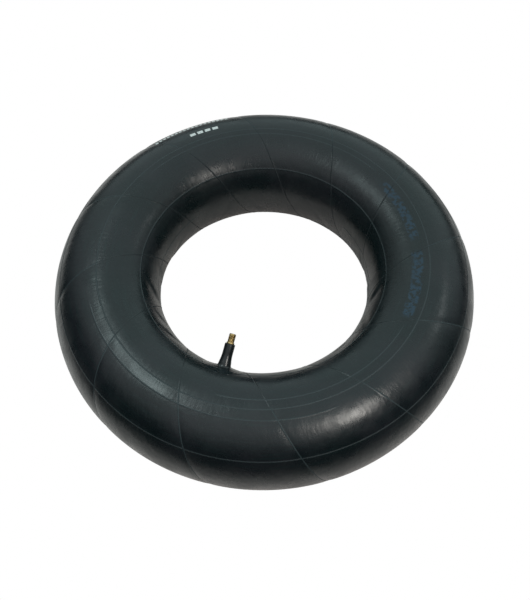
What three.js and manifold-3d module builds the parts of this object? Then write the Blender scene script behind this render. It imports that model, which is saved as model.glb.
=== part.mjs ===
// An inflated butyl rubber inner tube for a 10 inch wheel, with a straight rubber-covered tyre valve.
// Millimetres, +Z up. The ring lies on its side; the origin is the ring's centre, on the surface it rests on.
// The valve grows from the inner side of the ring at -Y, and leans upwards as the wall there does.
import * as THREE from 'three';
import { mergeVertices } from 'three/addons/utils/BufferGeometryUtils.js';
import Module from 'manifold-3d';

const wasm = await Module();
wasm.setup();

// ---- Driving dimensions -------------------------------------------------------------------------------

// The ring, an ellipse of half width and half height swept round the axis, resting on a narrow flat foot.
const OUTER_DIAMETER = 510;
const HALF_WIDTH = 63.5;
const HALF_HEIGHT = 67.3;
const WALL = 2;
const FOOT_HALF_ANGLE = 6.5;                       // degrees of the section pressed flat on each side
const RING_STEPS = 64;
const SECTION_STEPS = 24;
const CENTRE_RADIUS = OUTER_DIAMETER / 2 - HALF_WIDTH;
const CENTRE_HEIGHT = HALF_HEIGHT * Math.cos(THREE.MathUtils.degToRad(FOOT_HALF_ANGLE));

// Where the valve stands on the section: 0 degrees is the outer side, 90 the top, 180 the inner side.
const VALVE_ANGLE = 148;

// Heights in the valve are measured from the tube's outer skin, along the valve's axis.
const TIP = 39.5;
const GAP = 0.3;                                   // between the tube, its base pad and the stem's foot
const BOND = 0.08;                                 // between pieces that are moulded or seated together

const PAD = { radius: 25, thickness: 2.5, collarTop: 8.3, collarRadius: 9.3, flareRadius: 13, airHole: 4 };
const FOOT = { pivot: 6, ball: 6.9, base: 3, socket: 7.25, mouth: 7.5, hole: 5 };
const COVER = { neckRadius: 6.35, topRadius: 5.4, top: 28, chamfer: 0.8, airHole: 2.2 };
const INSERT = { base: 6.6, anchorRadius: 4.4, anchorTop: 8, shankRadius: 3.5, grooveRadius: 3.1,
  grooves: 4, collarRadius: 3.85, collarTop: 29.3 };
const CAP_THREAD = { root: 3.35, crest: 3.85, pitch: 25.4 / 32 };
const CORE_THREAD = { root: 2.27, crest: 2.58, pitch: 25.4 / 36 };

// Depths in the valve core are measured from the tip, down the axis.
const CHAMBER = { mouthRadius: 2.75, mouth: 1.6, threadEnd: 7.2, seat: 8, seatEnd: 9.6, seatRadius: 2.35, bore: 1.95 };
const PLUG = { top: 0.7, tabs: 2, bottom: 6.4, tabRadius: 2.1, tabWidth: 1.9, hole: 0.75,
  recess: 4.8, recessRadius: 1.65, lip: 5.8, lipRadius: 1.25 };
const BARREL = { top: 5, head: 1.55, neckTop: 5.7, neck: 1.15, shoulderTop: 6.6, shoulder: 1.6,
  grooveTop: 7.6, groove: 1.25, bodyTop: 9.4, body: 1.5, bottom: 15.95, rim: 1.25,
  bore: 0.95, ledge: 13.2, ledgeBore: 0.65 };
const PACKING = { top: 7.8, bottom: 9.2, topRadius: 2.2, bottomRadius: 1.93, bore: 1.33 };
const PIN = { top: 0.35, headBottom: 1.1, head: 0.62, radius: 0.4, collarTop: 5.2, collarBottom: 5.6,
  collar: 0.85, crimpTop: 17.2, crimp: 0.55, bottom: 17.6 };
const SPRING = { top: 5.9, bottom: 12.9, radius: 0.66, wire: 0.13, turns: 7, stepsPerTurn: 12, sides: 6 };
const CUP = { top: 16, floor: 16.6, bottom: 17.1, radius: 1.35, cavity: 1.2, hole: 0.45 };
const SEAL = { top: 16, bottom: 16.54, radius: 1.14, hole: 0.5 };

const ROUND = 24;                                  // steps round every turned piece
const { degToRad } = THREE.MathUtils;

// ---- Materials ----------------------------------------------------------------------------------------

const finish = (color, roughness, metalness) => new THREE.MeshStandardMaterial({ color, roughness, metalness });
const butyl = finish(0x2b3234, 0.5, 0);
const mouldedRubber = finish(0x1b1e20, 0.4, 0);
const sealRubber = finish(0x3a1512, 0.6, 0);
const brass = finish(0xb08a4a, 0.35, 1);
const nickel = finish(0xb9b6ad, 0.3, 1);
const springSteel = finish(0x9a9a98, 0.3, 1);

// ---- Solids -------------------------------------------------------------------------------------------

function solidOf(geometry) {
  const bare = geometry.clone();
  bare.deleteAttribute('normal');
  bare.deleteAttribute('uv');
  const merged = mergeVertices(bare, 1e-4);
  return new wasm.Manifold(new wasm.Mesh({
    numProp: 3,
    vertProperties: merged.attributes.position.array,
    triVerts: new Uint32Array(merged.index.array),
  }));
}

function geometryOf(solid) {
  const mesh = solid.getMesh();
  const geometry = new THREE.BufferGeometry();
  geometry.setAttribute('position', new THREE.BufferAttribute(mesh.vertProperties, 3));
  geometry.setIndex(new THREE.BufferAttribute(mesh.triVerts, 1));
  return geometry;
}

// Turns [radius, height] points, given anticlockwise, about +Z.
function turned(points, steps = ROUND) {
  const profile = points.map(([radius, height]) => new THREE.Vector2(radius, height));
  return new THREE.LatheGeometry(profile, steps).rotateX(Math.PI / 2);
}

const closed = (points) => [...points, points[0]];

// The same, with depths below the tip in place of heights.
const fromDepths = (points) => points.map(([radius, depth]) => [radius, TIP - depth]);

// A rod with a right-handed V thread that runs out over one pitch at both ends. Two rods of one pitch are in
// step wherever they start, so a tapped hole cut by one takes the other.
function threadedRod(thread, low, high) {
  const { root, crest, pitch } = thread;
  const clear = pitch / 8;                         // no row of points is nearer to an end than this
  const columns = [];
  for (let i = 0; i < ROUND; i++) {
    const angle = (i / ROUND) * 2 * Math.PI;
    const at = (radius, z) => new THREE.Vector3(radius * Math.cos(angle), radius * Math.sin(angle), z);
    const column = [at(root, low)];
    const first = Math.ceil(((low + clear) / pitch - i / ROUND) * 2);
    for (let row = first; (row / 2 + i / ROUND) * pitch < high - clear; row++) {
      const z = (row / 2 + i / ROUND) * pitch;
      const runOut = Math.min(1, (z - low) / pitch, (high - z) / pitch);
      column.push(at(row % 2 === 0 ? root + (crest - root) * runOut : root, z));
    }
    column.push(at(root, high));
    columns.push(column);
  }
  return skin(columns, new THREE.Vector3(0, 0, low), new THREE.Vector3(0, 0, high));
}

// Triangles between neighbouring columns of points that all climb in z, closed by a fan at each end.
function skin(columns, bottom, top) {
  const corners = [];
  columns.forEach((here, i) => {
    const next = columns[(i + 1) % columns.length];
    let a = 0;
    let b = 0;
    while (a < here.length - 1 || b < next.length - 1) {
      const climbHere = b === next.length - 1 || (a < here.length - 1 && here[a + 1].z <= next[b + 1].z);
      corners.push(here[a], next[b], climbHere ? here[a + 1] : next[b + 1]);
      if (climbHere) a++;
      else b++;
    }
    corners.push(bottom, next[0], here[0]);
    corners.push(top, here.at(-1), next.at(-1));
  });
  return new THREE.BufferGeometry().setFromPoints(corners);
}

// ---- The ring -----------------------------------------------------------------------------------------

// A point of the section at an angle, moved outwards from the skin, with the way out of the skin there.
function onSection(angle, outwards = 0) {
  const out = new THREE.Vector2(Math.cos(angle) / HALF_WIDTH, Math.sin(angle) / HALF_HEIGHT).normalize();
  const point = new THREE.Vector2(
    CENTRE_RADIUS + HALF_WIDTH * Math.cos(angle),
    CENTRE_HEIGHT + HALF_HEIGHT * Math.sin(angle),
  ).addScaledVector(out, outwards);
  return { point, out };
}

// The whole ring as a solid, its skin moved outwards. The section's last side is the flat foot.
function ring(outwards) {
  const foot = degToRad(FOOT_HALF_ANGLE);
  const points = [];
  for (let i = 0; i <= SECTION_STEPS; i++) {
    const angle = -Math.PI / 2 + foot + (i / SECTION_STEPS) * 2 * (Math.PI - foot);
    points.push(onSection(angle, outwards).point.toArray());
  }
  return solidOf(turned(closed(points), RING_STEPS));
}

// The valve's frame stands on the skin, its +Z along the way out of it.
const root = new THREE.Group();
const seat = onSection(degToRad(VALVE_ANGLE));
const valve = new THREE.Group();
valve.position.set(0, -seat.point.x, seat.point.y);
valve.rotation.x = -Math.atan2(-seat.out.x, seat.out.y);
valve.updateMatrix();

// A turned solid that stands in the valve's frame, for cutting and joining the ring's own pieces.
const inValve = (points) => solidOf(turned(points).applyMatrix4(valve.matrix));

const pin = (radius, low, high) => [[0, low], [radius, low], [radius, high], [0, high]];

function tubeBody() {
  return ring(0).subtract(ring(-WALL)).subtract(inValve(pin(PAD.airHole, -3 * WALL, 2 * WALL)));
}

// The moulded base: a disc that lies on the tube, and a collar round the foot of the stem.
function valvePad() {
  const disc = ring(PAD.thickness).intersect(inValve(pin(PAD.radius, -2 * PAD.radius, PAD.radius)));
  const collar = inValve([[0, -PAD.thickness], [PAD.flareRadius, -PAD.thickness], [PAD.flareRadius, PAD.thickness],
    [PAD.collarRadius + 1, 0.6 * PAD.collarTop], [PAD.collarRadius, PAD.collarTop], [0, PAD.collarTop]]);
  const socket = [[0, -PAD.flareRadius], [FOOT.hole, -PAD.flareRadius]];
  const lowest = Math.acos(FOOT.hole / FOOT.socket);
  for (let i = 0; i <= 4; i++) {
    const angle = -lowest * (1 - i / 4);
    socket.push([FOOT.socket * Math.cos(angle), FOOT.pivot + FOOT.socket * Math.sin(angle)]);
  }
  socket.push([FOOT.mouth, FOOT.pivot + 1], [FOOT.mouth, 2 * PAD.collarTop], [0, 2 * PAD.collarTop]);
  return disc.add(collar).subtract(ring(GAP)).subtract(inValve(socket));
}

// ---- The stem -----------------------------------------------------------------------------------------

// The rubber cover, from its round foot in the pad's collar to the brass at its top.
function stemCover() {
  const { base, pivot, ball } = FOOT;
  const { neckRadius, topRadius, top, chamfer, airHole } = COVER;
  const low = Math.asin((base - pivot) / ball);
  const high = Math.acos(neckRadius / ball);
  const foot = [];
  for (let i = 0; i <= 5; i++) {
    const angle = low + (i / 5) * (high - low);
    foot.push([ball * Math.cos(angle), pivot + ball * Math.sin(angle)]);
  }
  const bore = INSERT.shankRadius + BOND;
  return turned(closed([
    [airHole, base], ...foot, [topRadius, top - chamfer], [topRadius - chamfer, top], [bore, top],
    [bore, INSERT.anchorTop + BOND], [INSERT.anchorRadius + BOND, INSERT.anchorTop + BOND],
    [INSERT.anchorRadius + BOND, INSERT.base - BOND], [airHole, INSERT.base - BOND],
  ]));
}

// The brass insert: an anchor and a grooved shank inside the rubber, a plain collar, and the cap's thread.
function stemInsert() {
  const { base, anchorRadius, anchorTop, shankRadius, grooveRadius, grooves, collarRadius, collarTop } = INSERT;
  const outside = [[0, base], [anchorRadius, base], [anchorRadius, anchorTop], [shankRadius, anchorTop]];
  const pitch = (COVER.top - anchorTop) / (grooves + 1);
  for (let i = 1; i <= grooves; i++) {
    const middle = anchorTop + i * pitch;
    outside.push([shankRadius, middle - 1], [grooveRadius, middle - 0.6],
      [grooveRadius, middle + 0.6], [shankRadius, middle + 1]);
  }
  outside.push([shankRadius, COVER.top + BOND], [collarRadius, COVER.top + BOND],
    [collarRadius, collarTop], [0, collarTop]);

  const tap = { root: CORE_THREAD.root + BOND, crest: CORE_THREAD.crest + BOND, pitch: CORE_THREAD.pitch };
  const { mouthRadius, mouth, threadEnd, seat: seatTop, seatEnd, seatRadius, bore } = CHAMBER;
  const inTap = tap.root - 0.05;                   // the drilling stays inside the tap that goes over it
  const chamber = fromDepths([[0, TIP], [bore, TIP], [bore, seatEnd], [seatRadius, seatTop],
    [seatRadius, threadEnd], [inTap, threadEnd - 0.2], [inTap, mouth], [mouthRadius, mouth], [mouthRadius, -1], [0, -1]]);
  return solidOf(turned(outside))
    .add(solidOf(threadedRod(CAP_THREAD, collarTop - 0.6, TIP)))
    .subtract(solidOf(turned(chamber)))
    .subtract(solidOf(threadedRod(tap, TIP - threadEnd, TIP - mouth / 2)));
}

// ---- The valve core -----------------------------------------------------------------------------------

// The brass plug that screws the core in: two drive flats, a thread, and a recess swaged round the barrel's head.
function corePlug() {
  const { top, tabs, bottom, tabRadius, tabWidth, hole, recess, recessRadius, lip, lipRadius } = PLUG;
  const head = solidOf(turned(pin(tabRadius, TIP - tabs - 0.6, TIP - top)));
  const flats = new THREE.BoxGeometry(tabWidth, 3 * tabRadius, 2 * tabs).translate(0, 0, TIP - tabs);
  const inside = fromDepths([[0, bottom + 1], [lipRadius, bottom + 1], [lipRadius, lip], [recessRadius, lip],
    [recessRadius, recess], [hole, recess], [hole, top - 1], [0, top - 1]]);
  return solidOf(threadedRod(CORE_THREAD, TIP - bottom, TIP - tabs))
    .add(head.intersect(solidOf(flats)))
    .subtract(solidOf(turned(inside)));
}

function coreBarrel() {
  const { top, head, neckTop, neck, shoulderTop, shoulder, grooveTop, groove, bodyTop, body,
    bottom, rim, bore, ledge, ledgeBore } = BARREL;
  return turned(closed(fromDepths([
    [ledgeBore, bottom], [rim, bottom], [body, bottom - 0.35], [body, bodyTop], [groove, bodyTop],
    [groove, grooveTop], [shoulder, grooveTop], [shoulder, shoulderTop], [neck, shoulderTop], [neck, neckTop],
    [head, neckTop], [head, top], [bore, top], [bore, ledge], [ledgeBore, ledge],
  ])));
}

function corePacking() {
  const { top, bottom, topRadius, bottomRadius, bore } = PACKING;
  return turned(closed(fromDepths([[bore, bottom], [bottomRadius, bottom], [topRadius, top], [bore, top]])));
}

function corePin() {
  const { top, headBottom, head, radius, collarTop, collarBottom, collar, crimpTop, crimp, bottom } = PIN;
  return turned(fromDepths([
    [0, bottom], [crimp, bottom], [crimp, crimpTop], [radius, crimpTop], [radius, collarBottom],
    [collar, collarBottom], [collar, collarTop], [radius, collarTop], [radius, headBottom],
    [head, headBottom], [head, top], [0, top],
  ]));
}

class Helix extends THREE.Curve {
  getPoint(t) {
    const angle = t * SPRING.turns * 2 * Math.PI;
    const z = TIP - THREE.MathUtils.lerp(SPRING.bottom, SPRING.top, t);
    return new THREE.Vector3(SPRING.radius * Math.cos(angle), SPRING.radius * Math.sin(angle), z);
  }
}

function coreSpring() {
  const wire = new THREE.Shape().absarc(0, 0, SPRING.wire, 0, 2 * Math.PI);
  return new THREE.ExtrudeGeometry(wire, {
    extrudePath: new Helix(),
    steps: SPRING.turns * SPRING.stepsPerTurn,
    curveSegments: SPRING.sides,
  });
}

function coreCup() {
  const { top, floor, bottom, radius, cavity, hole } = CUP;
  return turned(closed(fromDepths([
    [hole, bottom], [radius, bottom], [radius, top], [cavity, top], [cavity, floor], [hole, floor],
  ])));
}

function coreSeal() {
  const { top, bottom, radius, hole } = SEAL;
  return turned(closed(fromDepths([[hole, bottom], [radius, bottom], [radius, top], [hole, top]])));
}

// ---- Assembly -----------------------------------------------------------------------------------------

function add(group, name, shape, material) {
  const mesh = new THREE.Mesh(shape.isBufferGeometry ? shape : geometryOf(shape), material);
  mesh.name = name;
  group.add(mesh);
}

add(root, 'tube_body', tubeBody(), butyl);
add(root, 'valve_pad', valvePad(), mouldedRubber);
add(valve, 'stem_cover', stemCover(), mouldedRubber);
add(valve, 'stem_insert', stemInsert(), brass);
add(valve, 'core_plug', corePlug(), brass);
add(valve, 'core_barrel', coreBarrel(), nickel);
add(valve, 'core_packing', corePacking(), sealRubber);
add(valve, 'core_pin', corePin(), brass);
add(valve, 'core_spring', coreSpring(), springSteel);
add(valve, 'core_cup', coreCup(), brass);
add(valve, 'core_seal', coreSeal(), sealRubber);
root.add(valve);

export default root;
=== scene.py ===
"""The looks of an inflated butyl inner tube with a rubber-covered valve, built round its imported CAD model."""

import math

import bpy
import numpy as np
from mathutils import Matrix, Vector


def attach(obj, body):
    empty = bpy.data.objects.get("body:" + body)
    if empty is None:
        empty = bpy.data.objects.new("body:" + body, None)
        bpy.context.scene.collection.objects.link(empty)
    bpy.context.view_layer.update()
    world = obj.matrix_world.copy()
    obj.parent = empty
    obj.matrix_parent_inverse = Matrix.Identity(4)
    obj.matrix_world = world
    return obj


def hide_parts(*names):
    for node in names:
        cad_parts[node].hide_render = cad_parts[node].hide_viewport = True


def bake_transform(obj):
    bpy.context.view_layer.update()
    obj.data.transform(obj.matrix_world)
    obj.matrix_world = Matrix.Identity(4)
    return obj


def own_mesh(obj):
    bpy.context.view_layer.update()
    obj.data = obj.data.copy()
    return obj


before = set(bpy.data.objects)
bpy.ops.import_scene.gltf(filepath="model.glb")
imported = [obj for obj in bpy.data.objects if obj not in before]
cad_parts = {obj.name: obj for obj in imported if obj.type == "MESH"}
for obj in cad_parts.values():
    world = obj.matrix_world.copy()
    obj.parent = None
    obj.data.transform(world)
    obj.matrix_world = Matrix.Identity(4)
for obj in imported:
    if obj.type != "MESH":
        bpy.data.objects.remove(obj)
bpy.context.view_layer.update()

# ---- Sizes, in metres and radians -------------------------------------------------------------------

MM = 0.001
DEG = math.pi / 180
TURN = 2 * math.pi

# The ring: an ellipse swept round the axis, pressed flat where it lies on the floor.
OUTER_RADIUS = 255 * MM
HALF_WIDTH = 63.5 * MM
HALF_HEIGHT = 67.3 * MM
FOOT_HALF_ANGLE = 6.5 * DEG
CENTRE_RADIUS = OUTER_RADIUS - HALF_WIDTH
CENTRE_HEIGHT = HALF_HEIGHT * math.cos(FOOT_HALF_ANGLE)
MEAN_HALF = (HALF_WIDTH + HALF_HEIGHT) / 2

# The mould's ribs: twelve that wind round the section, and circles at these angles of the section.
# An angle of the section is 0 on the outer side, 90 degrees at the top and 180 on the inner side.
RIBS = 12
RIB_PITCH = TURN / RIBS
RIB_AZIMUTH = 25.5 * DEG               # of one winding rib where it passes RIB_LEVEL
RIB_LEVEL = 60 * DEG
RIB_HALF_WIDTH = 0.8 * MM
RIB_HEIGHT = 0.32 * MM
CIRCLE_SHARE = 0.8                     # how high a circle is, as a share of a winding rib
CIRCLES = (-136.5, -37.7, 37.7, 88.0, 136.5)
# Short arcs: the section's angle, the first and last azimuth, all in degrees.
ARCS = ((77.0, -145, -48), (98.0, -88, -12), (95.0, 60, 158), (172.0, -5, 58), (171.0, 148, 212))
ARC_FADE = 4 * DEG

# The valve stands on the skin here, and leans as the skin does. Its heights are along its own axis.
VALVE_LEVEL = 148 * DEG
VALVE_AZIMUTH = -90 * DEG


# ---- The skin ---------------------------------------------------------------------------------------

# How far the ribs wind: two pitches in one turn of the section, so that each meets another's start.
WINDING = 2 * RIB_PITCH


def wound(level):
    """The azimuth that a rib has moved through between RIB_LEVEL and this angle of the section."""
    def swept(angle):
        ratio = math.sqrt((CENTRE_RADIUS - HALF_WIDTH) / (CENTRE_RADIUS + HALF_WIDTH))
        half = np.clip(angle / 2, -TURN / 4 + 1e-9, TURN / 4 - 1e-9)
        return np.arctan(ratio * np.tan(half)) * 2 / TURN
    return -WINDING * (swept(level) - swept(RIB_LEVEL))


# The cosine of a winding rib's slant from the section's plane, which is the same all along the rib.
SLANT = math.cos(math.atan(math.sqrt(CENTRE_RADIUS**2 - HALF_WIDTH**2) / (RIBS / 2 * HALF_WIDTH)))


def section(level):
    """Radius, height, and the way out of the skin as its two parts, for angles of the section."""
    radius = CENTRE_RADIUS + HALF_WIDTH * np.cos(level)
    height = CENTRE_HEIGHT + HALF_HEIGHT * np.sin(level)
    out_r, out_z = np.cos(level) / HALF_WIDTH, np.sin(level) / HALF_HEIGHT
    size = np.hypot(out_r, out_z)
    return radius, height, out_r / size, out_z / size


def turned_to(angle):
    """An angle brought between half a turn back and half a turn on."""
    return (angle + TURN / 2) % TURN - TURN / 2


def bump(distance, half_width):
    """A rounded ridge, 1 high at its middle and 0 from half_width on."""
    return 0.5 + 0.5 * np.cos(math.pi * np.clip(np.abs(distance) / half_width, 0, 1))


def rib_height(azimuth, level):
    """How far the mould's ribs stand out, how much of a circle and of a winding rib is here, 0 to 1 each,
    and the distance to the nearest winding rib."""
    radius = CENTRE_RADIUS + HALF_WIDTH * np.cos(level)
    off = azimuth - wound(level) - RIB_AZIMUTH
    off = (off + RIB_PITCH / 2) % RIB_PITCH - RIB_PITCH / 2
    across = off * radius * SLANT
    winding = bump(across, RIB_HALF_WIDTH)
    rings = np.zeros(winding.shape)
    for circle in CIRCLES:
        rings = np.maximum(rings, bump(turned_to(level - circle * DEG) * MEAN_HALF, RIB_HALF_WIDTH))
    for arc, first, last in ARCS:
        middle, half = (first + last) / 2 * DEG, (last - first) / 2 * DEG
        inside = np.clip((half - np.abs(turned_to(azimuth - middle))) / ARC_FADE, 0, 1)
        rings = np.maximum(rings, inside * bump((level - arc * DEG) * MEAN_HALF, RIB_HALF_WIDTH))
    return RIB_HEIGHT * np.maximum(winding, CIRCLE_SHARE * rings), rings, winding, across


PUCKER = 0.7 * MM                      # how far the skin is drawn in along a winding rib
PUCKER_WIDTH = 3.2 * MM
INNER_PUCKER = 0.22                    # the share of it that is left on the inner wall
PUCKER_FADE = (105, 60)                # it falls to that share between these section angles, in degrees
TIGHT_AZIMUTH, TIGHT_SPAN = -34.5 * DEG, 12 * DEG      # where the skin is tightest, and is drawn in least
TIGHTNESS = 0.65
FACET = 0.12                           # share of a straight chord that the inner wall takes between ribs
FACET_SPAN = 38 * DEG

# Folds in the slack inner wall: azimuth, section angle, lean, half length in mm, depth in mm.
FOLDS = (
    (-151, 160, 60, 15, 1.5), (-168, 178, 78, 16, 1.0), (-133, 156, 40, 13, 0.9), (-121, 149, 25, 14, 0.8),
    (5, 152, -54, 15, 1.5), (18, 177, 80, 18, 1.1), (-12, 152, 50, 13, 0.9), (-31, 150, 25, 14, 0.7),
    (36, 186, -70, 18, 0.9), (57, 184, 60, 14, 0.6), (74, 189, -55, 14, 0.6), (91, 186, 65, 15, 0.6),
    (113, 188, -60, 16, 0.6), (131, 184, 62, 14, 0.6), (150, 186, -70, 18, 0.8), (168, 196, 60, 18, 0.9),
    (-58, 192, 70, 16, 0.8), (-118, 190, -65, 16, 0.8), (-90, 205, 80, 18, 0.7),
)
FOLD_WIDTH = 3.5 * MM


def fold_height(azimuth, level):
    """The folds: a crease with a lip on one side of it."""
    height = np.zeros(np.broadcast(azimuth, level).shape)
    inner = CENTRE_RADIUS - HALF_WIDTH
    for where, angle, lean, half_length, deep in FOLDS:
        x = turned_to(azimuth - where * DEG) * inner
        y = turned_to(level - angle * DEG) * MEAN_HALF
        along = x * math.cos(lean * DEG) + y * math.sin(lean * DEG)
        across = (y * math.cos(lean * DEG) - x * math.sin(lean * DEG)) / FOLD_WIDTH
        lip = 0.6 * across * np.exp(1 - np.abs(across)) - 0.7 * np.exp(-np.abs(across) * 0.8)
        height = height + deep * MM * lip * np.exp(-((along / (half_length * MM)) ** 2))
    return height


def skin(azimuth, level):
    """Points of the outer skin."""
    radius, height, out_r, out_z = section(level)
    ribs, _, _, across = rib_height(azimuth, level)
    outer = np.clip((PUCKER_FADE[0] - np.abs(level) / DEG) / (PUCKER_FADE[0] - PUCKER_FADE[1]), 0, 1)
    tight = 1 - TIGHTNESS * np.exp(-((turned_to(azimuth - TIGHT_AZIMUTH) / TIGHT_SPAN) ** 2))
    drawn = PUCKER * (INNER_PUCKER + (1 - INNER_PUCKER) * outer) * tight
    pucker = drawn * np.exp(-np.abs(across) / PUCKER_WIDTH)
    inner = np.exp(-((turned_to(level - math.pi) / FACET_SPAN) ** 2))
    middle = (azimuth - wound(level) - RIB_AZIMUTH) % RIB_PITCH - RIB_PITCH / 2
    chord = radius * (1 - math.cos(RIB_PITCH / 2) / np.cos(middle))
    out = ribs - pucker + FACET * chord * inner + fold_height(azimuth, level)
    radius = radius + out * out_r
    height = np.maximum(height + out * out_z, 0)
    return np.stack([radius * np.cos(azimuth), radius * np.sin(azimuth), height], -1)


def steps_near(marks, low, high, step, fine):
    """Values from low to high about step apart, with closer ones on both sides of each mark, at the
    distances in fine."""
    values = []
    edges = [low - 1] + sorted(marks) + [high + 1]
    for mark in sorted(marks):
        values += [mark] + [mark + sign * f for f in fine for sign in (-1, 1)]
    reach = fine[-1]
    for a, b in zip(edges[:-1], edges[1:]):
        a, b = max(a + reach, low), min(b - reach, high)
        if b > a:
            count = max(1, round((b - a) / step))
            values += [a + (b - a) * i / count for i in range(count + 1)]
    return np.array(sorted({round(x, 6) for x in values if low <= x < high}))


def new_piece(name, points, faces, smooth=True):
    """An object in the scene, made of these points and faces."""
    mesh = bpy.data.meshes.new(name)
    mesh.from_pydata([tuple(p) for p in points], [], faces)
    mesh.validate()
    mesh.polygons.foreach_set("use_smooth", [smooth] * len(mesh.polygons))
    piece = bpy.data.objects.new(name, mesh)
    bpy.context.scene.collection.objects.link(piece)
    return piece


def store(piece, name, values):
    """Keeps a vector for each vertex, for the material to read."""
    attribute = piece.data.attributes.new(name, "FLOAT_VECTOR", "POINT")
    attribute.data.foreach_set("vector", np.asarray(values, np.float32).ravel())


# Section angles, in degrees.
FINE_FROM = 141                        # the inner wall's rows are closer from here on
INNER_ARCS = 171.5                     # between the two arcs there
PLAIN_CROWN_MIDDLE, PLAIN_CROWN_HALF, PLAIN_CROWN_FADE = 114, 16, 8
PLAIN_CROWN = 0.85                          # how much of the winding ribs' paler colour, roughness and dullness is taken off on the crown in front


def tube_skin():
    """The blown-up tube. Its columns follow the winding ribs, so that each rib is a row of real vertices."""
    half_pitch = 180 / RIBS
    per_rib = steps_near([0], -half_pitch, half_pitch, 0.95, (0.13, 0.27, 0.5)) * DEG
    columns = np.concatenate([RIB_AZIMUTH + per_rib + i * RIB_PITCH for i in range(RIBS)])
    circles = [mark for mark in list(CIRCLES) + [arc[0] for arc in ARCS] if mark < FINE_FROM]
    rows = np.concatenate([steps_near(circles, -180, FINE_FROM, 2.6, (0.4, 0.8, 1.4)),
                           steps_near([INNER_ARCS], FINE_FROM, 180, 1.6, (0.3, 0.5, 0.9, 1.4, 2.0))]) * DEG
    level, column = np.meshgrid(rows, columns, indexing="ij")
    azimuth = column + wound(level)
    points = skin(azimuth, level)
    wide, shift = len(columns), 2 * len(per_rib)          # a full turn of the section moves a rib on two pitches
    faces = []
    for i in range(len(rows)):
        for j in range(wide):
            k = (j + 1) % wide
            if i + 1 < len(rows):
                faces.append((i * wide + j, i * wide + k, (i + 1) * wide + k, (i + 1) * wide + j))
            else:
                faces.append((i * wide + j, i * wide + k, (k - shift) % wide, (j - shift) % wide))
    piece = new_piece("tube_skin", points.reshape(-1, 3), faces)
    _, rings, winding, _ = rib_height(azimuth, level)
    front = np.clip((np.cos(azimuth - VALVE_AZIMUTH) - 0.1) / 0.3, 0, 1)
    off_crown = np.abs(level / DEG - PLAIN_CROWN_MIDDLE)
    crown = np.clip((PLAIN_CROWN_HALF + PLAIN_CROWN_FADE - off_crown) / PLAIN_CROWN_FADE, 0, 1)
    winding = winding * (1 - PLAIN_CROWN * front * crown)
    store(piece, "around", np.stack([np.cos(azimuth), np.sin(azimuth), rings], -1))
    store(piece, "section", np.stack([np.cos(level), np.sin(level), winding], -1))
    return piece


# ---- The valve --------------------------------------------------------------------------------------

def valve_frame():
    """The matrix from the valve's own frame, +Z up its stem, to the row frame."""
    radius, height, out_r, out_z = section(VALVE_LEVEL)
    turn = Matrix.Rotation(VALVE_AZIMUTH, 3, "Z")
    axis = turn @ Vector((out_r, 0, out_z))
    side = turn @ Vector((0, 1, 0))
    fore = side.cross(axis)
    place = turn @ Vector((radius, 0, height))
    return Matrix.Translation(place) @ Matrix((fore, side, axis)).transposed().to_4x4()


VALVE = valve_frame()
AXIS = VALVE.to_3x3() @ Vector((0, 0, 1))


def on_the_ring(points):
    """Azimuth and section angle of the skin's point nearest to each point, both in the row frame."""
    azimuth = np.arctan2(points[..., 1], points[..., 0])
    radius = np.hypot(points[..., 0], points[..., 1])
    up, out = (points[..., 2] - CENTRE_HEIGHT) / HALF_HEIGHT, (radius - CENTRE_RADIUS) / HALF_WIDTH
    return azimuth, np.arctan2(up, out)


def lathe_faces(rows, around, reverse=False):
    """Faces between rings of points, each ring joined to the next and the last one to the first."""
    faces = []
    for i in range(rows):
        after = (i + 1) % rows
        for j in range(around):
            k = (j + 1) % around
            a, b, c, d = i * around + j, i * around + k, after * around + k, after * around + j
            faces.append((a, d, c, b) if reverse else (a, b, c, d))
    return faces


COVER_TOP = 28 * MM
COVER_TOP_RADIUS = 5.9 * MM
COVER_EDGE = 0.4 * MM                  # how round the cover's rim is
WIDENING = 17 * MM                     # where the cover begins to widen
NECK = 6.3 * MM                        # where the flare begins
NECK_RADIUS = 7.1 * MM
FLARE_RADIUS = 8.9 * MM                # where the flare ends, on the pad
FLARE_END = 1.9 * MM
FOLD_DEPTH = 0.22 * MM                 # of the little folds round the foot
BORE = 3.58 * MM                       # the radius of the hole that the brass sits in
PAD_RADIUS = 25 * MM
PAD_EDGE = 0.16 * MM                   # how far the pad's edge stands off the skin
AIR_HOLE = 2.3 * MM
AROUND = 96


def puckered(angle, amount):
    """Uneven little folds round the foot of the stem."""
    folds = np.sin(7 * angle + 1.0) * 0.4 + np.sin(12 * angle + 2.3) * 0.35 + np.sin(19 * angle + 0.4) * 0.25
    return amount * folds


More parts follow.
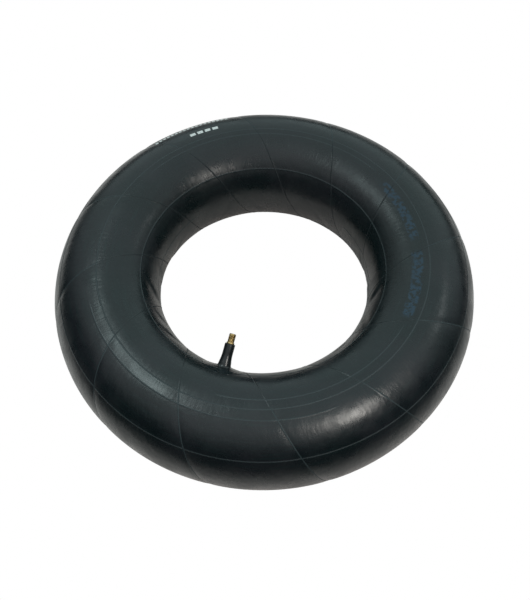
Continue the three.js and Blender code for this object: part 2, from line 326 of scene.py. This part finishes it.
def valve_rubber():
    """The stem's cover, its flared foot and the pad on the tube, one moulding."""
    # Each ring: radius, height up the valve, how far it follows the skin, and the depth of its folds.
    rings = [(BORE, 10 * MM, 0, 0), (BORE, COVER_TOP - 0.3 * MM, 0, 0), (BORE + 0.3 * MM, COVER_TOP, 0, 0)]
    for angle in np.linspace(0, math.pi / 2, 7):
        rings.append((COVER_TOP_RADIUS - COVER_EDGE * (1 - math.sin(angle)),
                      COVER_TOP - COVER_EDGE * (1 - math.cos(angle)), 0, 0))
    for t in np.linspace(0.04, 1, 22):
        height = COVER_TOP - COVER_EDGE + (NECK - COVER_TOP + COVER_EDGE) * t
        wider = max(0, (WIDENING - height) / (WIDENING - NECK)) ** 2
        rings.append((COVER_TOP_RADIUS + (NECK_RADIUS - COVER_TOP_RADIUS) * wider, height, 0, 0.04 * MM * t))
    for angle in np.linspace(0.1, math.pi / 2, 14):
        rings.append((NECK_RADIUS + (FLARE_RADIUS - NECK_RADIUS) * (1 - math.cos(angle)),
                      NECK - (NECK - FLARE_END) * math.sin(angle), math.sin(angle) ** 2,
                      FOLD_DEPTH * math.sin(angle)))
    for t in np.linspace(0.06, 1, 22):
        lift = PAD_EDGE + (FLARE_END - PAD_EDGE) * (1 - t) ** 1.5
        rings.append((FLARE_RADIUS + (PAD_RADIUS - FLARE_RADIUS) * t, lift, 1, FOLD_DEPTH * (1 - t) ** 2))
    rings += [(PAD_RADIUS - 0.3 * MM, 0.06 * MM, 1, 0), (9 * MM, 0.1 * MM, 1, 0), (7 * MM, 0.6 * MM, 0, 0),
              (AIR_HOLE, 0.6 * MM, 0, 0), (AIR_HOLE, 6.2 * MM, 0, 0), (BORE, 6.4 * MM, 0, 0)]
    angle = np.arange(AROUND) / AROUND * TURN
    to_row = np.array(VALVE)
    points = []
    for radius, height, follows, folds in rings:
        # The pad's outer part isn't quite round.
        wavy = radius * (1 + 0.012 * follows * np.sin(5 * angle + 0.7)) if radius > 12 * MM else radius
        flat = np.stack([wavy * np.cos(angle), wavy * np.sin(angle), 0 * angle, 1 + 0 * angle], -1) @ to_row.T
        on_skin = skin(*on_the_ring(flat[:, :3]))
        lift = height + puckered(angle, folds)
        points.append(flat[:, :3] + follows * (on_skin - flat[:, :3]) + lift[:, None] * np.array(AXIS))
    piece = new_piece("valve_rubber", np.concatenate(points), lathe_faces(len(rings), AROUND, reverse=True))
    like_tube = [np.clip((ring[0] - 10 * MM) / (5 * MM), 0, 1) for ring in rings]
    store(piece, "pad", np.repeat(like_tube, AROUND)[:, None] * np.ones(3))
    return piece


TIP = 39.5 * MM
CAP_THREAD = (3.6 * MM, 3.95 * MM, 25.4 / 32 * MM)     # root, crest, pitch
COLLAR_TOP = COVER_TOP + 1.7 * MM
COLLAR_RADIUS = 4.5 * MM
SHANK = 3.5 * MM                       # the radius of the part inside the rubber
AIRWAY = 1.97 * MM                     # the radius of the bore below the core's seat


def brass_insert():
    """The stem's brass: a shank inside the rubber, a collar, the cap's thread, and the bore the core sits in."""
    root, crest, pitch = CAP_THREAD
    low, high = COLLAR_TOP, TIP - 0.35 * MM
    count = round((high - low) / pitch * 8)
    # Each row: radius, height up the valve, and 1 where the thread is.
    rows = [(SHANK, 9 * MM, 0), (SHANK, COVER_TOP - 0.1 * MM, 0)]
    for angle in np.linspace(-math.pi / 2, math.pi / 2, 9):
        rows.append((COLLAR_RADIUS - 0.35 * MM * (1 - math.cos(angle)),
                     (COVER_TOP + COLLAR_TOP) / 2 + (COLLAR_TOP - COVER_TOP) / 2 * math.sin(angle), 0))
    rows.append((root, COLLAR_TOP + 0.02 * MM, 0))
    rows += [(root, low + (high - low) * i / count, 1) for i in range(1, count + 1)]
    rows += [(root - 0.1 * MM, TIP - 0.08 * MM, 0), (root - 0.25 * MM, TIP, 0), (2.95 * MM, TIP, 0),
             (2.78 * MM, TIP - 0.15 * MM, 0), (2.75 * MM, TIP - 1.6 * MM, 0), (2.67 * MM, TIP - 1.75 * MM, 0),
             (2.67 * MM, TIP - 7.1 * MM, 0), (2.42 * MM, TIP - 7.3 * MM, 0), (2.42 * MM, TIP - 9.6 * MM, 0),
             (AIRWAY, TIP - 9.8 * MM, 0), (AIRWAY, 9 * MM, 0)]
    around = 48
    angle = np.arange(around) / around * TURN
    points = []
    for radius, height, threaded in rows:
        turn = (height / pitch - angle / TURN) % 1
        run_out = np.clip(min((height - low) / pitch, (high - height) / pitch), 0, 1)
        radius = radius + threaded * (crest - root) * run_out * np.clip(1.5 - np.abs(turn - 0.5) * 4, 0, 1)
        points.append(np.stack([radius * np.cos(angle), radius * np.sin(angle), height + 0 * angle], -1))
    piece = new_piece("brass_insert", np.concatenate(points), lathe_faces(len(rows), around))
    piece.data.transform(VALVE)
    return piece


SPRING_TOP, SPRING_FOOT = TIP - 5.9 * MM, TIP - 12.9 * MM
SPRING_RADIUS, SPRING_WIRE, SPRING_TURNS = 0.66 * MM, 0.13 * MM, 7


def spring_wire():
    """The spring under the pin's collar, with its end turns closed up."""
    steps, sides = 32 * SPRING_TURNS, 10
    points = []
    for i in range(steps + 1):
        t = i / steps
        angle = t * SPRING_TURNS * TURN
        climb = np.clip((t * SPRING_TURNS - 0.75) / (SPRING_TURNS - 1.5), 0, 1)
        end = 2 * SPRING_WIRE * min(1, t * SPRING_TURNS) - 2 * SPRING_WIRE * min(1, (1 - t) * SPRING_TURNS)
        span = SPRING_TOP - SPRING_FOOT - 6 * SPRING_WIRE
        height = (SPRING_TOP + SPRING_FOOT) / 2 + (climb - 0.5) * span + end
        outward = np.array([math.cos(angle), math.sin(angle), 0])
        for side in np.arange(sides) / sides * TURN:
            points.append(outward * (SPRING_RADIUS + SPRING_WIRE * math.cos(side))
                          + np.array([0, 0, height + SPRING_WIRE * math.sin(side)]))
    faces = [(i * sides + j, (i + 1) * sides + j, (i + 1) * sides + (j + 1) % sides, i * sides + (j + 1) % sides)
             for i in range(steps) for j in range(sides)]
    faces += [tuple(range(sides)), tuple(steps * sides + j for j in range(sides))[::-1]]
    piece = new_piece("spring_wire", points, faces)
    piece.data.transform(VALVE)
    return piece


# ---- Materials --------------------------------------------------------------------------------------

class Nodes:
    """A short way to write the node tree of a material or a world."""

    def __init__(self, owner, shader="Principled BSDF"):
        owner.use_nodes = True
        self.owner = owner
        self.tree = owner.node_tree
        self.shader = self.tree.nodes[shader]

    def add(self, kind, inputs=None, **settings):
        node = self.tree.nodes.new("ShaderNode" + kind)
        for key, value in settings.items():
            setattr(node, key, value)
        for key, value in (inputs or {}).items():
            self.put(node.inputs[key], value)
        return node

    def put(self, socket, value):
        if isinstance(value, bpy.types.NodeSocket):
            self.tree.links.new(value, socket)
        else:
            socket.default_value = value

    def set(self, **values):
        """Fills the shader's own sockets, with an underscore for each space in a name."""
        for name, value in values.items():
            self.put(self.shader.inputs[name.replace("_", " ")], value)
        return self.owner

    def noise(self, vector, scale, detail):
        node = self.add("TexNoise", {"Vector": vector, "Scale": scale, "Detail": detail, "Roughness": 0.55})
        return node.outputs["Fac"]

    def span(self, value, low, high, to_low=0.0, to_high=1.0):
        node = self.add("MapRange", {"Value": value, "From Min": low, "From Max": high,
                                     "To Min": to_low, "To Max": to_high}, interpolation_type="SMOOTHSTEP")
        return node.outputs["Result"]

    def math(self, operation, a, b=0.0):
        return self.add("Math", {0: a, 1: b}, operation=operation).outputs[0]

    def mix(self, factor, a, b):
        node = self.add("Mix", data_type="RGBA")
        self.put(node.inputs["Factor"], factor)
        self.put(node.inputs["A"], a)
        self.put(node.inputs["B"], b)
        return node.outputs["Result"]

    def bump(self, height, distance, strength=1.0, under=None):
        inputs = {"Height": height, "Distance": distance, "Strength": strength}
        if under:
            inputs["Normal"] = under
        return self.add("Bump", inputs).outputs["Normal"]

    def coordinates(self):
        return self.add("TexCoord").outputs["Object"]

    def attribute(self, name):
        return self.add("Attribute", attribute_name=name).outputs["Vector"]

    def parts(self, vector):
        return tuple(self.add("SeparateXYZ", {0: vector}).outputs)

    def within(self, value, middle, half, soft):
        """1 where the value is within half of the middle, and 0 from soft further out."""
        off = self.math("ABSOLUTE", self.math("SUBTRACT", value, middle))
        return self.span(off, half, half + soft, 1.0, 0.0)


BLACK, WHITE = (0, 0, 0, 1), (1, 1, 1, 1)


def rgb(red, green, blue):
    """A colour given as it looks, 0 to 255, for a socket that takes light values."""
    def light(value):
        value = value / 255
        return value / 12.92 if value <= 0.04045 else ((value + 0.055) / 1.055) ** 2.4
    return (light(red), light(green), light(blue), 1.0)


# Plain white dashes where the real tube has print: first azimuth, pitch, how many, length, section angle, width.
DASHES = ((126.0, 2.8, 4, 1.9, 75.3, 4.6), (121.0, 1.45, 18, 0.8, 54.0, 5.0))
# Smears of blue marking ink: first and last azimuth, section angle, width.
SMEARS = ((27, 52, 100.6, 7.5), (-7, 18, 100.8, 9.0))


def butyl():
    """Satin butyl: cloudy with old talc, paler on its ribs, finely drawn across where it is stretched."""
    n = Nodes(bpy.data.materials.new("butyl"))
    place = n.coordinates()
    cos_az, sin_az, ring = n.parts(n.attribute("around"))
    cos_level, sin_level, winding = n.parts(n.attribute("section"))
    azimuth = n.math("MULTIPLY", n.math("ARCTAN2", sin_az, cos_az), 1 / DEG)
    level = n.math("MULTIPLY", n.math("ARCTAN2", sin_level, cos_level), 1 / DEG)

    def along(stretch):
        """Coordinates for marks that run round the ring, or across it where stretch is small."""
        high = n.math("MULTIPLY", level, stretch)
        return n.add("CombineXYZ", {"X": cos_az, "Y": sin_az, "Z": high}).outputs["Vector"]

    # The skin's own colours; its paler ribs, which are partly dust and partly a painted highlight where the ridges
    # catch light; the blue ink and the white dashes.
    colour = n.mix(n.span(n.noise(place, 9, 4), 0.35, 0.65), rgb(13, 23, 25), rgb(26, 29, 33))
    colour = n.mix(n.span(n.noise(along(0.12), 6, 3), 0.45, 0.7, 0.0, 0.5), colour, rgb(20, 36, 37))
    speck = n.span(n.noise(place, 420, 2), 0.55, 0.8, 0, 0.35)
    colour = n.mix(speck, colour, rgb(46, 54, 55))
    # Paler ribs: partly dust, partly a painted highlight of the ridges. On the winding ribs it is painted stronger
    # on the outer side than on the crown.
    dust_and_sheen = n.math("MULTIPLY", winding, n.span(n.math("ABSOLUTE", level), 80, 100, 0.7, 0.1))
    colour = n.mix(n.math("MAXIMUM", dust_and_sheen, n.math("MULTIPLY", ring, 0.55)), colour, rgb(62, 75, 78))
    blot = n.span(n.noise(place, 210, 4), 0.42, 0.57, 0.0, 0.85)
    for first, last, angle, width in SMEARS:
        mask = n.math("MULTIPLY", n.within(azimuth, (first + last) / 2, (last - first) / 2, 3),
                      n.within(level, angle, width / 2, 2.5))
        colour = n.mix(n.math("MULTIPLY", mask, blot), colour, rgb(30, 56, 74))
    for first, pitch, count, length, angle, width in DASHES:
        middle = first + pitch * (count - 1) / 2
        beat = n.math("PINGPONG", n.math("SUBTRACT", azimuth, first), pitch / 2)
        mask = n.math("MULTIPLY", n.within(beat, 0, length / 2, 0.12),
                      n.math("MULTIPLY", n.within(azimuth, middle, pitch * count / 2, 0.1),
                             n.within(level, angle, width / 2, 0.4)))
        worn = n.span(n.noise(place, 700, 2), 0.36, 0.5, 0.6, 1.0)
        colour = n.mix(n.math("MULTIPLY", mask, worn), colour, rgb(232, 235, 232))

    # The ribs are rougher and less glossy; fine grain, drawn streaks and shallow waves lie on one another.
    rough = n.span(n.noise(place, 34, 4), 0.3, 0.7, 0.22, 0.36)
    rough = n.math("ADD", rough, n.math("MULTIPLY", n.math("MAXIMUM", ring, winding), 0.4))
    gloss = n.math("SUBTRACT", 0.5, n.math("MULTIPLY", winding, 0.22))
    grain = n.bump(n.noise(place, 800, 2), 0.05 * MM)
    streaks = n.bump(n.noise(along(0.0016), 60, 2), 0.22 * MM, 1.0, grain)
    waves = n.bump(n.noise(place, 42, 2), 0.6 * MM, 1.0, streaks)
    return n.set(Base_Color=colour, Roughness=rough, Specular_IOR_Level=gloss, Normal=waves)


def moulded_rubber():
    """Black, with a mould's shine; the pad is as cloudy as the tube."""
    n = Nodes(bpy.data.materials.new("moulded_rubber"))
    place = n.coordinates()
    pad = n.parts(n.attribute("pad"))[0]
    cloud = n.noise(place, 160, 3)
    colour = n.mix(n.span(cloud, 0.3, 0.7), rgb(15, 18, 20), rgb(27, 31, 33))
    colour = n.mix(pad, colour, n.mix(cloud, rgb(14, 22, 25), rgb(24, 33, 36)))
    folds = n.bump(n.noise(place, 330, 3), 0.25 * MM, n.math("ADD", n.math("MULTIPLY", pad, 0.5), 0.12))
    return n.set(Base_Color=colour, Roughness=n.span(cloud, 0.3, 0.7, 0.16, 0.26),
                 Normal=n.bump(n.noise(place, 1200, 2), 0.04 * MM, 1.0, folds))


def seal_rubber():
    """Dull red rubber."""
    n = Nodes(bpy.data.materials.new("seal_rubber"))
    place = n.coordinates()
    cloud = n.noise(place, 900, 3)
    return n.set(Base_Color=n.mix(n.span(cloud, 0.3, 0.7), rgb(96, 30, 24), rgb(124, 44, 34)),
                 Roughness=n.span(cloud, 0.3, 0.7, 0.45, 0.6), Normal=n.bump(n.noise(place, 3000, 2), 0.02 * MM))


def metal(name, dark, light, rough):
    """Metal that is stained from a dark colour to a light one, and rougher where it is light."""
    n = Nodes(bpy.data.materials.new(name))
    place = n.coordinates()
    stain = n.noise(place, 260, 4)
    return n.set(Metallic=1.0, Base_Color=n.mix(n.span(stain, 0.3, 0.7), dark, light),
                 Roughness=n.span(stain, 0.3, 0.7, rough, rough + 0.15),
                 Normal=n.bump(n.noise(place, 2500, 2), 0.03 * MM))


def wear(piece, material):
    """Gives a piece this material alone."""
    piece.data.materials.clear()
    piece.data.materials.append(material)


# ---- The pieces -------------------------------------------------------------------------------------

tube = tube_skin()
wear(tube, butyl())
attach(tube, "tube")
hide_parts("tube_body")

rubber = valve_rubber()
wear(rubber, moulded_rubber())
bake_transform(rubber)
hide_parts("valve_pad", "stem_cover")

brass = metal("brass", rgb(158, 134, 92), rgb(206, 180, 128), 0.3)
plated = metal("plated_brass", rgb(150, 146, 138), rgb(190, 186, 176), 0.25)
steel = metal("spring_wire", rgb(120, 120, 120), rgb(170, 170, 170), 0.2)
red = seal_rubber()
for node, material in (("core_plug", brass), ("core_pin", brass), ("core_cup", brass),
                       ("core_barrel", plated), ("core_packing", red), ("core_seal", red)):
    wear(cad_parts[node], material)

insert = brass_insert()
wear(insert, brass)
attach(insert, "valve_stem")
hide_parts("stem_insert")

spring = spring_wire()
wear(spring, steel)
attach(spring, "valve_core")
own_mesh(spring)
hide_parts("core_spring")

# ---- The studio -------------------------------------------------------------------------------------

CAMERA_AZIMUTH = 20.45 * DEG           # from straight in front of the valve's side, to the right
CAMERA_ELEVATION = 58.64 * DEG
CAMERA_DISTANCE = 1.0239
CAMERA_ROLL = -2.02 * DEG
CAMERA_SHIFT = (0.0022, -0.0257)
LENS, SENSOR = 49.75, 36               # mm; the sensor's size is along the picture's longer side


def camera():
    """The photo's camera: it looks down at the ring's centre, and is turned a little about its own axis."""
    data = bpy.data.cameras.new("camera")
    data.lens = LENS
    data.sensor_width = SENSOR
    data.shift_x, data.shift_y = CAMERA_SHIFT
    eye = bpy.data.objects.new("camera", data)
    turn = Matrix.Rotation(CAMERA_AZIMUTH, 4, "Z") @ Matrix.Rotation(math.pi / 2 - CAMERA_ELEVATION, 4, "X")
    place = Matrix.Translation((0, 0, CENTRE_HEIGHT)) @ turn @ Matrix.Translation((0, 0, CAMERA_DISTANCE))
    eye.matrix_world = place @ Matrix.Rotation(CAMERA_ROLL, 4, "Z")
    bpy.context.scene.collection.objects.link(eye)
    bpy.context.scene.camera = eye


def softbox(name, place, aim, size, turn, reach, brightness, colour):
    """A lamp with a grid, so that it fades to nothing at an angle of reach from its aim. The brightness is what
    a mirror would show of it."""
    data = bpy.data.lights.new(name, "AREA")
    data.shape = "ELLIPSE"
    data.size, data.size_y = size
    data.spread = 2 * reach
    data.energy = brightness * math.pi * size[0] * size[1] * math.pi / 4 * (1 - reach / math.tan(reach))
    data.color = colour
    lamp = bpy.data.objects.new(name, data)
    lamp.location = place
    facing = (Vector(place) - Vector(aim)).to_track_quat("Z", "Y")
    lamp.rotation_euler = (facing.to_matrix() @ Matrix.Rotation(turn, 3, "Z")).to_euler()
    bpy.context.scene.collection.objects.link(lamp)


FLOOR_HALF = 6                         # m
FLOOR_DROP = 0.2 * MM                  # keeps it clear of the tube's flat foot
POOL, POOL_EDGE = (-0.07, 0.13, 0), (0.36, 0.66)       # the centre of the floor's painted pool of light, and where it fades to dark


def floor():
    """A pale table. It is burnt out to white where the camera looks at it, as paper under studio lamps is.
    Elsewhere it is painted: a pool of light that fades to dark away from the ring, a faint glow of its own round
    the ring, and a painted shadow in the ring's hole.
    """
    half = FLOOR_HALF
    piece = new_piece("floor", [(-half, -half, 0), (half, -half, 0), (half, half, 0), (-half, half, 0)],
                      [(0, 1, 2, 3)], smooth=False)
    piece.location.z = -FLOOR_DROP
    n = Nodes(bpy.data.materials.new("floor"))

    def distance(centre):
        off = n.add("VectorMath", {0: n.coordinates(), 1: centre}, operation="SUBTRACT").outputs["Vector"]
        return n.add("VectorMath", {0: off}, operation="LENGTH").outputs["Value"]

    seen = n.add("LightPath").outputs["Is Camera Ray"]
    far = n.span(distance(POOL), *POOL_EDGE)
    # For all but camera rays the floor's colour is a painted pool of light, pale near the ring and dark further
    # off.
    painted_pool = n.mix(far, (0.93, 0.84, 0.8, 1), (0.05, 0.05, 0.05, 1))
    # A faint painted glow near the ring, left out in the middle of its hole as a painted shadow.
    glow = n.math("MULTIPLY", n.span(far, 0, 1, 0.14, 0.0), n.span(distance((0, 0, 0)), 0.14, 0.3))
    n.set(Base_Color=n.mix(seen, painted_pool, BLACK), Roughness=0.9, Specular_IOR_Level=0.0, Emission_Color=WHITE,
          Emission_Strength=n.math("MAXIMUM", seen, glow))
    wear(piece, n.owner)


def towards(azimuth, elevation):
    """The direction that an azimuth and an elevation name."""
    level = math.cos(elevation)
    return Vector((level * math.cos(azimuth), level * math.sin(azimuth), math.sin(elevation)))


def sky():
    """A pale backdrop that rises behind the object, a pale ceiling, and a dark room on the camera's side."""
    world = bpy.data.worlds.new("studio")
    n = Nodes(world, "Background")
    way = n.add("TexCoord").outputs["Generated"]
    seen = n.add("LightPath").outputs["Is Camera Ray"]

    def glow(middle, low, high):
        return n.span(n.add("VectorMath", {0: way, 1: middle}, operation="DOT_PRODUCT").outputs["Value"], low, high)

    backdrop = glow(towards(95 * DEG, 30 * DEG), 0.0, 0.95)
    ceiling = n.math("MULTIPLY", glow((0, 0, 1), 0.2, 1.08), 0.9)
    light = n.add("Mix", {0: backdrop, 2: ceiling, 3: 0.76}).outputs[0]
    strength = n.add("Mix", {0: seen, 2: light, 3: 1.0}).outputs[0]
    tint = n.mix(backdrop, (0.93, 1.0, 1.03, 1), (0.8, 1.0, 1.01, 1))
    n.set(Strength=strength, Color=n.mix(seen, tint, WHITE))
    bpy.context.scene.world = world


# Each lamp: name, place, aim, size, turn, reach, brightness, colour.
LAMPS = (
    ("left_softbox", (-0.46, -0.02, 0.95), (-0.08, -0.16, 0.13), (0.60, 0.30), 20 * DEG, 30 * DEG, 4.2,
     (0.8, 1.0, 1.0)),
    ("left_lamp", (-0.32, -0.19, 0.95), (-0.05, -0.19, 0.13), (0.20, 0.16), 0, 24 * DEG, 4.5, (0.86, 1.0, 1.0)),
    ("right_strip", (1.06, 0.66, 0.95), (0.19, 0.0, 0.12), (0.55, 0.14), 0, 30 * DEG, 2.6, (0.95, 1.0, 1.0)),
    ("right_softbox", (0.73, -0.40, 0.95), (0.15, -0.15, 0.13), (0.38, 0.38), 0, 20.5 * DEG, 16.0,
     (1.0, 0.96, 0.9)),
)

camera()
floor()
sky()
for lamp in LAMPS:
    softbox(*lamp)
bpy.context.scene.view_settings.view_transform = "Standard"
